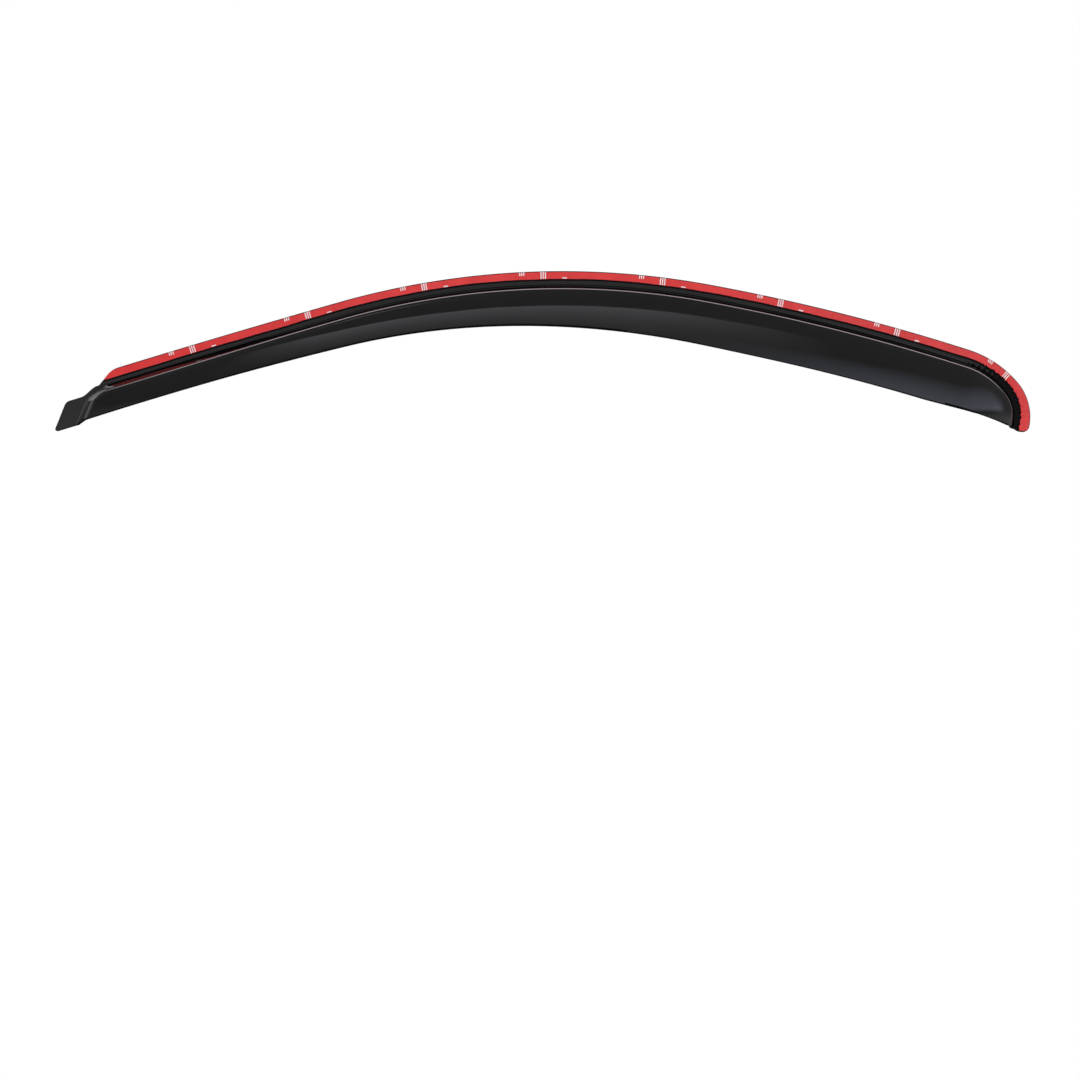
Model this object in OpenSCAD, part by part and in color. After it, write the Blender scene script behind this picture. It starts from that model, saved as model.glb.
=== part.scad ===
// Window rain deflector for a left front door, of the kind that tucks into the window channel.
// One smoked acrylic moulding carries a strip of foam tape and its release film on a flat flange.
//
// Frame: X runs to the rear of the car, Y into the car, Z up, with both ends of the arch level
// as the part hangs on a wall. The bond face of the tape lies in the plane Y = 0, and the origin
// is the middle of the tape's width where the arch is level.
//
// Every outline is drawn in edge coordinates: s is the distance along the outer edge from the
// front corner of the flange, and n is the distance inward from that edge.

/* [Outer edge] */
// Length of the nearly straight run beside the windscreen pillar
pillar_run = 253; // [180:1:300]
// Angle that the pillar run turns through, in degrees
pillar_turn = 1.2; // [0.2:0.1:5]
// Radius of the crown of the arch
crown_r = 873; // [700:1:1100]
// Angle of the crown in front of its level point
crown_front_turn = 15.9; // [11:0.1:20]
// Angle of the crown behind its level point
crown_rear_turn = 10.4; // [6:0.1:14]
// Length of the long run under the roof
roof_run = 287; // [220:1:340]
// Angle that the roof run turns through
roof_turn = 7.4; // [1:0.1:12]
// Radius of the rear shoulder
shoulder_r = 114; // [90:1:140]
// Angle of the rear shoulder
shoulder_turn = 32.2; // [26:0.1:38]
// Radius of the heel
heel_r = 56; // [50:1:75]
// Angle of the heel
heel_turn = 49.6; // [42:0.1:56]
// Straight length below the heel, to the end of the crest
heel_tail = 6.5; // [4:0.5:14]

/* [Flange and wall] */
// Width of the flat flange from its outer edge to the foot of the wall
flange_w = 13.1; // [12:0.1:17]
// Extra width of the flange at the heel
heel_gain = 3.2; // [0:0.1:4]
// Height of the wall at the front, from the flange to the crest
front_wall_h = 9.5; // [8:0.1:12]
// Height of the wall behind the soft front section
wall_h = 12; // [9:0.1:14]
// Slope of the wall's flank at the front, where it leaves the foot, in degrees
front_slope = 39; // [34:1:55]
// Angle by which that flank steepens towards the crest
front_hollow = 6.5; // [1:0.5:10]
// Slope of the wall's flank behind the soft front section
wall_slope = 54; // [48:0.5:66]
// Angle by which it steepens towards the crest
wall_hollow = 1; // [0.5:0.5:4]
// Radius of the hollow at the foot of the wall
foot_r = 2.5; // [1.5:0.1:4]
// Outside radius of the crest
crest_r = 7.5; // [5:0.1:9]
// Distance from the front corner at which the soft front section starts to change
steepen_from = 30; // [0:5:80]
// Distance from the front corner at which the soft front section has ended
steepen_to = 230; // [140:5:300]
// Thickness of the moulding
shell_t = 2.4; // [1.8:0.1:3.2]

/* [Blade] */
// Distance from the outer edge to the lower edge at the front end
front_depth = 46.6; // [42:0.1:54]
// Distance from the outer edge to the lower edge behind the crown
rear_depth = 72.8; // [62:0.1:82]
// Distance from the front corner at which the blade starts to deepen
deepen_from = 5; // [0:5:120]
// Distance from the front corner at which the blade is at full depth
deepen_to = 740; // [520:5:800]
// Height of the lower edge over the flange at the front end
front_flare = 11.4; // [10:0.1:18]
// Height of the lower edge over the flange from the crown to the rear
rear_flare = 29; // [18:0.1:34]
// Distance from the front corner at which the flare starts to grow, ahead of it where negative
flare_from = -25; // [-60:5:40]
// Distance from the front corner at which the blade is fully flared
flare_to = 650; // [400:5:750]
// Bulge of the blade's section, as the share by which it is steeper at the crest
blade_bulge = 0.45; // [0.2:0.05:0.6]

/* [Front end] */
// Slant of the tab's end and of the ramp, from square to the edge
tab_slant = 39; // [28:1:44]
// Distance from the front corner of the flange to the tip of the tab
tab_reach = 79.4; // [70:0.2:90]
// Distance from the line of the outer edge to the tab's lower side
tab_depth = 46.6; // [42:0.1:54]
// Distance of the tab's upper side from the line of the outer edge
tab_inset = 18.7; // [16:0.1:22]
// Radius of the tab's upper corner
tab_corner_r = 8; // [4:0.5:10]
// Radius of the tip
tip_r = 2; // [1:0.1:3]
// Distance of the neck's edge from the line of the outer edge
neck_inset = 12.2; // [10.5:0.1:13]
// Distance from the front corner to the start of the step from neck to tab
neck_len = 20; // [16:0.5:24]
// Length of that step
neck_step = 20; // [12:0.5:24]
// Slant of the flange's cut end, from square to the edge
cut_slant = 55.6; // [44:0.2:60]
// Radius of the flange's front corner
cut_corner_r = 24; // [12:0.5:30]
// Distance from the front corner to the foot of the ramp, along the outer edge
ramp_setback = 18; // [14:0.5:21]
// Length of the ramp from foot to crest
ramp_run = 17; // [12:0.5:20]
// Radius of the corner in plan between ramp and wall
ramp_corner_r = 38; // [16:1:44]

/* [Rear end] */
// Length that the flange runs past the end of the crest
flange_lug = 2; // [0.5:0.1:4]
// Radius of the flange's rear corner
rear_corner_r = 6.5; // [3:0.5:8]

/* [Tape] */
// Width of the foam tape and of its release film
tape_w = 7.9; // [6:0.1:10]
// Extra width of the tape at the heel, where its inner edge bunches up in the bend
tape_gain = 2.2; // [0:0.1:3.5]
// Thickness of the foam tape
tape_t = 1.1; // [0.8:0.1:1.6]
// Distance of the tape from the flange's outer edge
tape_margin = 0.8; // [0.1:0.1:1]
// Thickness of the release film
liner_t = 0.1; // [0.05:0.05:0.3]

/* [Hidden] */

// Longest steps between columns, from the long gentle runs to the detailed ends
long_step = 14;
lean_step = 9;
corner_step = 4;
round_step = 3.5;
tab_step = 2.5;
fine_step = 1.4;

// Distances along the outer edge at which its curvature changes
crown_len = crown_r * (crown_front_turn + crown_rear_turn) * PI / 180;
shoulder_start = pillar_run + crown_len + roof_run;
shoulder_len = shoulder_r * shoulder_turn * PI / 180;
heel_len = heel_r * heel_turn * PI / 180;
crest_end = shoulder_start + shoulder_len + heel_len + heel_tail;
flange_end = crest_end + flange_lug;
edge_runs = [
    [pillar_run, pillar_turn],
    [crown_len, crown_front_turn + crown_rear_turn],
    [roof_run, roof_turn],
    [shoulder_len, shoulder_turn],
    [heel_len, heel_turn],
    [heel_tail + flange_lug, 0]
];

// Levels of the layers, all measured inward from the bond face
tape_y = liner_t;
flange_y = liner_t + tape_t;
outer_edge_z = tape_margin + tape_w / 2;

// Share of the blade's depth over which its flare sets in softly
soft_start = 0.05;

function smooth(t) = let (u = min(1, max(0, t))) u * u * (3 - 2 * u);
function mix(a, b, t) = a + (b - a) * t;

// Pose [x, z, heading] after a run of the given length that turns down by the given angle
function advance(pose, length, turn) =
    abs(turn) < 0.0001
    ? [pose[0] + length * cos(pose[2]), pose[1] + length * sin(pose[2]), pose[2]]
    : let (r = length / (turn * PI / 180))
      [pose[0] + r * (sin(pose[2]) - sin(pose[2] - turn)),
       pose[1] + r * (cos(pose[2] - turn) - cos(pose[2])),
       pose[2] - turn];

// Poses at the joints between the runs, from the level point of the crown
crown_pose = [0, outer_edge_z, 0];
crown_front_len = crown_r * crown_front_turn * PI / 180;
front_pose = advance(advance(crown_pose, -crown_front_len, -crown_front_turn), -pillar_run, -pillar_turn);

function edge_pose(s, pose = front_pose, run = 0) =
    let (length = edge_runs[run][0], turn = edge_runs[run][1])
    s < 0 ? advance(pose, s, 0)
    : s <= length ? advance(pose, s, turn * s / length)
    : run == len(edge_runs) - 1 ? advance(advance(pose, length, turn), s - length, 0)
    : edge_pose(s - length, advance(pose, length, turn), run + 1);

// Point [x, z] of the edge coordinates s and n
function plan_point(s, n) = let (p = edge_pose(s)) [p[0] + n * sin(p[2]), p[1] - n * cos(p[2])];

// The wall is low and soft at the front, and grows taller and steeper along the pillar
function steepened(s) = smooth((s - steepen_from) / (steepen_to - steepen_from));
function wall_top(s) = mix(front_wall_h, wall_h, steepened(s));
function low_slope(s) = mix(front_slope, wall_slope, steepened(s));
function high_slope(s) = low_slope(s) + mix(front_hollow, wall_hollow, steepened(s));

// Radii of the hollow foot, of the slightly hollow flank and of the crest. The height of the wall
// limits the first and the last, and the flank fills what they leave of it.
function wall_radii(s) =
    let (
        foot_rise = foot_r * (1 - cos(low_slope(s))),
        crest_rise = crest_r * (1 - cos(high_slope(s))),
        share = min(1, 0.95 * wall_top(s) / (foot_rise + crest_rise)),
        flank_rise = wall_top(s) - share * (foot_rise + crest_rise)
    )
    [foot_r * share, flank_rise / (cos(low_slope(s)) - cos(high_slope(s))), crest_r * share];

// Runs of the foot, of the flank and of the crest
function wall_parts(s) =
    let (r = wall_radii(s), low = sin(low_slope(s)), high = sin(high_slope(s)))
    [r[0] * low, r[1] * (high - low), r[2] * high];
function wall_run(s) = let (parts = wall_parts(s)) parts[0] + parts[1] + parts[2];

// Widths and heights along the part
function foot_line(s) =
    flange_w + heel_gain * smooth((s - shoulder_start) / (shoulder_len + heel_len));
function crest_line(s) = foot_line(s) + wall_run(s);
function lower_line(s) =
    mix(front_depth, rear_depth, smooth((s - deepen_from) / (deepen_to - deepen_from)));
function flare(s) =
    let (u = min(1, max(0, (s - flare_from) / (flare_to - flare_from))))
    mix(front_flare, rear_flare, u * (2 - u));

// Front end: cut flange, neck and tab, as the inset of the upper side at s
cut_turn = 90 - cut_slant;
cut_tangent = cut_corner_r * tan(cut_turn / 2);
function cut_edge(s) =
    s >= cut_tangent ? 0
    : s > -cut_tangent * cos(cut_turn)
        ? cut_corner_r - sqrt(cut_corner_r * cut_corner_r - (s - cut_tangent) * (s - cut_tangent))
        : -s * tan(cut_turn);
function neck_edge(s) = mix(neck_inset, tab_inset, smooth((-s - neck_len) / neck_step));

// Upper corner of the tab, an arc between its upper side and its slanted end
lean = tan(tab_slant);
tab_corner_tangent = tab_corner_r * tan((90 - tab_slant) / 2);
tab_corner_s = -tab_reach + (tab_depth - tab_inset) * lean;
tab_top_s = tab_corner_s + tab_corner_tangent;
tab_end_s = tab_corner_s - tab_corner_tangent * sin(tab_slant);
function corner_edge(s) =
    tab_inset + tab_corner_r - sqrt(tab_corner_r * tab_corner_r - (s - tab_top_s) * (s - tab_top_s));
function upper_edge(s) = s < tab_top_s ? corner_edge(s) : min(cut_edge(s), neck_edge(s));

// Tip of the tab, an arc between its slanted end and its lower side
function end_distance(s, n) = (s + tab_reach + (n - tab_depth) * lean) * cos(tab_slant);
function tip_edge(s, n) =
    let (off = end_distance(s, n) - tip_r)
    off >= tip_r * sin(tab_slant)
    ? tab_depth
    : tab_depth - tip_r + off * sin(tab_slant)
        + cos(tab_slant) * sqrt(max(0, tip_r * tip_r - off * off));

// Lower edge in a leaning column whose upper side lies at the inset top. It goes over from the
// tab's lower side to the blade's on the ramp.
function ramp_share(s, top) = (s + ramp_setback + top * lean) * cos(tab_slant) / ramp_run;
function bottom_line(s, top) = mix(tab_depth, lower_line(s), smooth(ramp_share(s, top)));

// Distance inside the foot of the raised field, which turns from wall to ramp round a corner.
// The ramp's distance is shortened so that its run maps onto the wall's.
function ramp_distance(s, n) = (s + ramp_setback + n * lean) * cos(tab_slant) * wall_run(s) / ramp_run;
function raised_distance(s, n) =
    let (
        by_wall = n - foot_line(s),
        by_ramp = ramp_distance(s, n),
        a = ramp_corner_r - by_wall,
        b = ramp_corner_r - by_ramp,
        c = sin(tab_slant),
        reach_wall = a - c * b,
        reach_ramp = b - c * a
    )
    reach_wall > 0 && reach_ramp > 0
    ? ramp_corner_r - sqrt((a * a + b * b - 2 * c * a * b) / (1 - c * c))
    : min(by_wall, by_ramp);

// Height of the wall's section at the distance d inside its foot
function wall_height(s, d) =
    let (
        slope = low_slope(s),
        r = wall_radii(s),
        parts = wall_parts(s),
        run = wall_run(s),
        along = d - parts[0] + r[1] * sin(slope)
    )
    d <= 0 ? 0
    : d < parts[0] ? r[0] - sqrt(r[0] * r[0] - d * d)
    : d < parts[0] + parts[1]
        ? r[0] * (1 - cos(slope)) + r[1] * cos(slope) - sqrt(r[1] * r[1] - along * along)
    : d < run ? wall_top(s) - r[2] + sqrt(r[2] * r[2] - (run - d) * (run - d))
    : wall_top(s);

// Share of the flare at a share v of the way from crest to lower edge
function eased(v) = (v < soft_start ? v * v / (2 * soft_start) : v - soft_start / 2) / (1 - soft_start / 2);
function bulged(v) = let (u = eased(max(0, v))) u * (1 + blade_bulge * (1 - u));

// Height of the outer face over the flange at s and n, with the lower edge at the given height.
// The flare sets in on the upper half of the crest.
function face_height(s, n, edge_height) =
    let (
        step = wall_height(s, raised_distance(s, n)),
        flare_line = crest_line(s) - wall_parts(s)[2] / 2,
        v = (n - flare_line) / (lower_line(s) - flare_line)
    )
    step + (edge_height - wall_top(s)) * bulged(v) * step / wall_top(s);

// Rear end: from fan_start on, the lower edge is one straight trim line to the end of the crest,
// and the blade's columns fan out along it
fan_lead = 0.35 * shoulder_r;
fan_start = shoulder_start - fan_lead;
fan_len = crest_end - fan_start;
fan_share = 0.6;
trim_start = plan_point(fan_start, lower_line(fan_start));
trim_end = plan_point(crest_end, crest_line(crest_end));
trim_len = norm(trim_end - trim_start);
fan_power = max(1.2, fan_len / (trim_len * fan_share));
trim_rise_len = trim_len * (1 - fan_share) * (1 + blade_bulge) / (2 * blade_bulge);
function fan_reach(s) = fan_share * (1 - pow(1 - min(1, max(0, (s - fan_start) / fan_len)), fan_power));
function lower_point(s) =
    s < fan_start ? plan_point(s, lower_line(s)) : mix(trim_start, trim_end, fan_reach(s));
function trim_flare(s) =
    let (u = min(1, trim_len * (1 - fan_reach(s)) / trim_rise_len))
    mix(wall_top(s), flare(s), u * (2 - u));

// The flange's rear end: its lug runs past the crest, and its outer corner is rounded
end_blend = 4 * rear_corner_r;
lug_blend = 3 * flange_lug;
function rear_shift(n) =
    flange_lug * (1 - smooth((n - flange_w + lug_blend / 2) / lug_blend))
    - (n < rear_corner_r
        ? rear_corner_r - sqrt(rear_corner_r * rear_corner_r - pow(rear_corner_r - n, 2))
        : 0);
function rear_weight(s) = min(1, max(0, (s - crest_end + end_blend) / end_blend));

// Even steps from one place to the next, without the last one
function steps(from, to, longest) =
    let (count = max(1, ceil((to - from) / longest)))
    [for (k = [0:count - 1]) mix(from, to, k / count)];

// Places of the columns along the edge. Over the front end they lean with the tab's slant, and
// upright columns take over from lean_from to lean_to.
lean_from = 1.25 * cut_tangent;
lean_to = pillar_run / 2;
ramp_blend_s = lean_from + ramp_corner_r;
even_end_s = -neck_len - 0.6 * neck_step;
columns = concat(
    steps(tab_end_s, tab_top_s, fine_step),
    steps(tab_top_s, even_end_s, tab_step),
    steps(even_end_s, lean_from, fine_step),
    steps(lean_from, ramp_blend_s, corner_step),
    steps(ramp_blend_s, lean_to, lean_step),
    steps(lean_to, shoulder_start, long_step),
    steps(shoulder_start, crest_end - end_blend / 4, round_step),
    steps(crest_end - end_blend / 4, crest_end, fine_step),
    [crest_end]
);
function column_lean(s) = lean * (1 - smooth((s - lean_from) / (lean_to - lean_from)));

// Lines across a column, as shares of the flange, of the hollow foot, of the crest and of the blade
flange_lines = [0, 0.12, 0.36, 0.7];
foot_lines = [0, 0.35, 0.7, 1];
crest_lines = [0, 0.35, 0.7, 1];
blade_lines = [0.1, 0.24, 0.42, 0.62, 0.82, 1];
crest_start = len(flange_lines) + len(foot_lines);
crest_index = crest_start + len(crest_lines) - 1;
line_count = crest_index + 1 + len(blade_lines);

// Inset of line j of flange and wall, measured from the outer edge
function upper_line(s, j) =
    let (foot = foot_line(s), parts = wall_parts(s))
    j < len(flange_lines) ? foot * flange_lines[j]
    : j < crest_start ? foot + parts[0] * foot_lines[j - len(flange_lines)]
    : foot + parts[0] + parts[1] + parts[2] * crest_lines[j - crest_start];

// Inset of line j in a plain section whose upper side lies at the inset top
function plain_line(s, top, bottom, j) =
    let (crest = crest_line(s))
    j <= crest_index
    ? mix(top, crest, upper_line(s, j) / crest)
    : mix(crest, bottom, blade_lines[j - crest_index - 1]);

// Column i as a list of [x, z, height]; the tab's columns are divided evenly
function column(s) =
    let (
        top = s < lean_from ? upper_edge(s) : 0,
        slope = column_lean(s),
        bottom = s < tab_top_s ? tip_edge(s, top) : bottom_line(s, top),
        evenness = 1 - smooth((s - tab_end_s) / (even_end_s - tab_end_s)),
        edge_height = s < fan_start ? flare(s) : trim_flare(s)
    )
    [for (j = [0:line_count - 1])
        let (
            n = mix(plain_line(s, top, bottom, j), mix(top, bottom, j / (line_count - 1)), evenness),
            along = s - (n - top) * slope + rear_weight(s) * (j <= crest_index ? rear_shift(n) : 0),
            v = j > crest_index ? blade_lines[j - crest_index - 1] : 0,
            p = s < fan_start || j <= crest_index
                ? plan_point(along, n)
                : mix(plan_point(s, crest_line(s)), lower_point(s), v)
        )
        [p[0], p[1], face_height(along, n, edge_height)]];

grid = [for (s = columns) column(s)];
column_count = len(columns);
outer_face = [for (c = grid) [for (p = c) [p[0], flange_y - p[2], p[1]]]];

// Inward normal of the outer face at a grid point. Where the last column meets the lower edge
// in one straight line, the column beside it gives the normal.
function inward(i, j) =
    let (
        k = j == line_count - 1 ? min(i, column_count - 2) : i,
        across = outer_face[min(k + 1, column_count - 1)][j] - outer_face[max(k - 1, 0)][j],
        down = outer_face[k][min(j + 1, line_count - 1)] - outer_face[k][max(j - 1, 0)],
        n = cross(across, down)
    )
    n / norm(n);
inner_face = [for (i = [0:column_count - 1]) [for (j = [0:line_count - 1])
    outer_face[i][j] + shell_t * inward(i, j)]];

// Solid between two grids of points of equal size
module grid_solid(front, back) {
    rows = len(front);
    cols = len(front[0]);
    half = rows * cols;
    points = concat([for (r = front) for (p = r) p], [for (r = back) for (p = r) p]);
    function at(i, j) = i * cols + j;
    quads = concat(
        [for (i = [0:rows - 2]) for (j = [0:cols - 2])
            [at(i, j), at(i + 1, j), at(i + 1, j + 1), at(i, j + 1)]],
        [for (i = [0:rows - 2]) for (j = [0:cols - 2])
            [half + at(i, j + 1), half + at(i + 1, j + 1), half + at(i + 1, j), half + at(i, j)]],
        [for (i = [0:rows - 2]) [at(i + 1, 0), at(i, 0), half + at(i, 0), half + at(i + 1, 0)]],
        [for (i = [0:rows - 2])
            [at(i, cols - 1), at(i + 1, cols - 1), half + at(i + 1, cols - 1), half + at(i, cols - 1)]],
        [for (j = [0:cols - 2]) [at(0, j), at(0, j + 1), half + at(0, j + 1), half + at(0, j)]],
        [for (j = [0:cols - 2])
            [at(rows - 1, j + 1), at(rows - 1, j), half + at(rows - 1, j), half + at(rows - 1, j + 1)]]
    );
    triangles = [for (q = quads) each [[q[0], q[1], q[2]], [q[0], q[2], q[3]]]];
    polyhedron(points = points, faces = triangles, convexity = 6);
}

// Inner edge of the tape, which spreads over the last stretch of the heel
spread_len = 1.25 * heel_r;
function tape_inner(s) =
    let (spread = smooth(1 + (s - flange_end + tape_margin) / spread_len))
    tape_margin + tape_w + tape_gain * spread;

// Outline of the tape on the flange, in edge coordinates, set in from its edges by the margin
corner_steps = 8;
tape_rail = [
    for (s = columns)
        if (s > cut_tangent + fine_step && s < flange_end - rear_corner_r - fine_step) s
];
tape_outline = concat(
    [for (k = [corner_steps:-1:0])
        let (a = cut_turn * k / corner_steps, r = cut_corner_r - tape_margin)
        [cut_tangent - r * sin(a), cut_corner_r - r * cos(a)]],
    [for (s = tape_rail) [s, tape_margin]],
    [for (k = [0:corner_steps])
        let (a = 90 * k / corner_steps, r = rear_corner_r - tape_margin)
        [flange_end - rear_corner_r + r * sin(a), rear_corner_r - r * cos(a)]],
    [[flange_end - tape_margin, tape_inner(flange_end - tape_margin)]],
    [for (k = [len(tape_rail) - 1:-1:0]) [tape_rail[k], tape_inner(tape_rail[k])]],
    [[(tape_margin - (tape_margin + tape_w) * cos(cut_turn)) / sin(cut_turn), tape_margin + tape_w]]
);

// Strip with the tape's outline, from the level y inward
module strip(y, thickness) {
    translate([0, y + thickness, 0])
        rotate([90, 0, 0])
            linear_extrude(thickness)
                polygon([for (p = tape_outline) plan_point(p[0], p[1])]);
}

module visor_shell() {
    color([0.1, 0.1, 0.11]) grid_solid(outer_face, inner_face);
}

module foam_tape() {
    color([0.2, 0.2, 0.21]) strip(tape_y, tape_t);
}

module release_liner() {
    color([0.86, 0.21, 0.23]) strip(0, liner_t);
}

visor_shell();
foam_tape();
release_liner();
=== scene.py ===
"""Looks of the window rain deflector: the dense shell, the tape, its release film and the studio."""

import math

import bpy
import numpy as np
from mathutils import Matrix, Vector


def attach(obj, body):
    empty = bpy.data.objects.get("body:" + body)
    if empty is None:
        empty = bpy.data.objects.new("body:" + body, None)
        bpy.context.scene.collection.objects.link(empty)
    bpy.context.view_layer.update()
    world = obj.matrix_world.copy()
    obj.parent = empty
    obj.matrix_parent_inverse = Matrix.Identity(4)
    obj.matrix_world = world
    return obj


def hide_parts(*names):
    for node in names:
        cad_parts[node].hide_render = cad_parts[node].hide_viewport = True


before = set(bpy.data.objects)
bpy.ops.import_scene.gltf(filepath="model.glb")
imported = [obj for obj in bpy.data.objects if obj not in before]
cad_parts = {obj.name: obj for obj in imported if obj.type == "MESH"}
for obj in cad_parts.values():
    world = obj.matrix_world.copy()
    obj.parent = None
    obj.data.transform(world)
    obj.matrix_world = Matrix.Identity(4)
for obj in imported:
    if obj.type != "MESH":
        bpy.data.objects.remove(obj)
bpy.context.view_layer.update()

MM = 0.001

# Sizes in millimetres, as in the CAD model where no comment says otherwise

# Outer edge of the flange, from its front corner to the rear
PILLAR_RUN = 253.0
PILLAR_TURN = math.radians(1.2)
CROWN_R = 873.0
CROWN_FRONT_TURN = math.radians(15.9)
CROWN_REAR_TURN = math.radians(10.4)
ROOF_RUN = 287.0
ROOF_TURN = math.radians(7.4)
SHOULDER_R = 114.0
SHOULDER_TURN = math.radians(32.2)
HEEL_R = 56.0
HEEL_TURN = math.radians(49.6)
HEEL_TAIL = 6.5

# Flange and wall
FLANGE_W = 13.1
HEEL_GAIN = 3.2
FRONT_WALL_H = 9.5
WALL_H = 12.0
FRONT_SLOPE = math.radians(39)
FRONT_HOLLOW = math.radians(6.5)
WALL_SLOPE = math.radians(54)
WALL_HOLLOW = math.radians(1)
STEEPEN_FROM = 30.0
STEEPEN_TO = 230.0
FOOT_R = 2.5
CREST_R = 7.5
SHELL_T = 2.4

# Blade
FRONT_DEPTH = 46.6
REAR_DEPTH = 72.8
DEEPEN_FROM = 5.0
DEEPEN_TO = 740.0
FRONT_FLARE = 11.4
REAR_FLARE = 29.0
FLARE_FROM = -25.0
FLARE_TO = 650.0
BLADE_BULGE = 0.45
SOFT_START = 0.05

# Front end. The tab is 0.6 mm shorter and 0.7 mm less deep than in the CAD model.
TAB_SLANT = math.radians(39)
TAB_REACH = 78.8
TAB_DEPTH = 45.9
TAB_INSET = 18.7
TAB_CORNER_R = 8.0
TIP_R = 2.0
NECK_INSET = 12.2
NECK_LEN = 20.0
NECK_STEP = 20.0
CUT_TURN = math.pi / 2 - math.radians(55.6)
CUT_CORNER_R = 24.0
RAMP_SETBACK = 18.0
RAMP_RUN = 17.0
RAMP_CORNER_R = 38.0
LEAN_TO = PILLAR_RUN / 2

# Rear end
FLANGE_LUG = 2.0
REAR_CORNER_R = 6.5
FAN_LEAD = 0.35 * SHOULDER_R
FAN_SHARE = 0.6
END_BLEND = 4 * REAR_CORNER_R
LUG_BLEND = 3 * FLANGE_LUG

# Tape and release film
TAPE_W = 7.9
TAPE_GAIN = 2.2
TAPE_T = 1.1
TAPE_MARGIN = 0.8
LINER_T = 0.1

# Values that follow from the sizes
CROWN_LEN = CROWN_R * (CROWN_FRONT_TURN + CROWN_REAR_TURN)
SHOULDER_LEN = SHOULDER_R * SHOULDER_TURN
HEEL_LEN = HEEL_R * HEEL_TURN
SHOULDER_START = PILLAR_RUN + CROWN_LEN + ROOF_RUN
CREST_END = SHOULDER_START + SHOULDER_LEN + HEEL_LEN + HEEL_TAIL
FLANGE_END = CREST_END + FLANGE_LUG
FLANGE_Y = LINER_T + TAPE_T
EDGE_RUNS = (
    (PILLAR_RUN, PILLAR_TURN),
    (CROWN_LEN, CROWN_FRONT_TURN + CROWN_REAR_TURN),
    (ROOF_RUN, ROOF_TURN),
    (SHOULDER_LEN, SHOULDER_TURN),
    (HEEL_LEN, HEEL_TURN),
)
LEAN = math.tan(TAB_SLANT)
# Trim of the lower edge on the ramp, where the sheet would show a hook from in front
RAMP_TRIM = SHELL_T * math.sin(FRONT_SLOPE) * math.sin(TAB_SLANT)
CUT_TANGENT = CUT_CORNER_R * math.tan(CUT_TURN / 2)
TAB_CORNER_TANGENT = TAB_CORNER_R * math.tan((math.pi / 2 - TAB_SLANT) / 2)
TAB_CORNER_S = -TAB_REACH + (TAB_DEPTH - TAB_INSET) * LEAN
TAB_TOP_S = TAB_CORNER_S + TAB_CORNER_TANGENT
TAB_END_S = TAB_CORNER_S - TAB_CORNER_TANGENT * math.sin(TAB_SLANT)
LEAN_FROM = 1.25 * CUT_TANGENT
# The lines are evenly spaced at the tab's end, and have their own places from here on
EVEN_END_S = -NECK_LEN - 0.6 * NECK_STEP


def smooth(t):
    """Soft step from 0 to 1."""
    u = np.clip(t, 0, 1)
    return u * u * (3 - 2 * u)


def mix(a, b, t):
    """Value at the share t of the way from a to b."""
    return a + (b - a) * t


def root(v):
    """Square root, with 0 for what lies below 0."""
    return np.sqrt(np.maximum(v, 0))


def steepened(s):
    """Share of the change from the wall's soft section at the front to its steep one."""
    return smooth((s - STEEPEN_FROM) / (STEEPEN_TO - STEEPEN_FROM))


# Outline in edge coordinates: s runs along the outer edge, n inward from it


def straight(pose, length):
    """Pose (x, z, heading) after a straight run."""
    x, z, heading = pose
    return x + length * np.cos(heading), z + length * np.sin(heading), heading + 0 * length


def arc(pose, length, radius):
    """Pose after an arc that turns down; a negative length runs it backwards."""
    x, z, heading = pose
    after = heading - length / radius
    return (
        x + radius * (np.sin(heading) - np.sin(after)),
        z + radius * (np.cos(after) - np.cos(heading)),
        after,
    )


CROWN_POSE = (0.0, TAPE_MARGIN + TAPE_W / 2, 0.0)
CROWN_FRONT_POSE = arc(CROWN_POSE, -CROWN_R * CROWN_FRONT_TURN, CROWN_R)
FRONT_POSE = arc(CROWN_FRONT_POSE, -PILLAR_RUN, PILLAR_RUN / PILLAR_TURN)


def edge_pose(s):
    """x, z and heading of the outer edge at the distances s."""
    s = np.asarray(s, float)
    pose = FRONT_POSE
    found = straight(pose, s)
    start = 0.0
    for length, turn in EDGE_RUNS:
        here = s >= start
        local = arc(pose, s - start, length / turn)
        found = [np.where(here, new, old) for new, old in zip(local, found)]
        pose = arc(pose, length, length / turn)
        start += length
    tail = straight(pose, s - start)
    return [np.where(s >= start, new, old) for new, old in zip(tail, found)]


def plan_point(s, n):
    """Points (x, z) of the edge coordinates s and n."""
    x, z, heading = edge_pose(s)
    return x + n * np.sin(heading), z - n * np.cos(heading)


def foot_line(s):
    """Inset of the wall's foot, which is wider round the heel."""
    return FLANGE_W + HEEL_GAIN * smooth((s - SHOULDER_START) / (SHOULDER_LEN + HEEL_LEN))


def wall_top(s):
    return mix(FRONT_WALL_H, WALL_H, steepened(s))


def wall_slopes(s):
    """Slopes of the wall's flank at the foot and under the crest."""
    low = mix(FRONT_SLOPE, WALL_SLOPE, steepened(s))
    return low, low + mix(FRONT_HOLLOW, WALL_HOLLOW, steepened(s))


def flank_radius(s):
    """Radius of the hollow flank that fits between foot and crest."""
    low, high = wall_slopes(s)
    rise = wall_top(s) - FOOT_R * (1 - np.cos(low)) - CREST_R * (1 - np.cos(high))
    return rise / (np.cos(low) - np.cos(high))


def wall_parts(s):
    """Runs of the wall's hollow foot, slightly hollow flank and rounded crest."""
    low, high = wall_slopes(s)
    flank = flank_radius(s) * (np.sin(high) - np.sin(low))
    return FOOT_R * np.sin(low), flank, CREST_R * np.sin(high)


def wall_run(s):
    return sum(wall_parts(s))


def crest_line(s):
    return foot_line(s) + wall_run(s)


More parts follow.
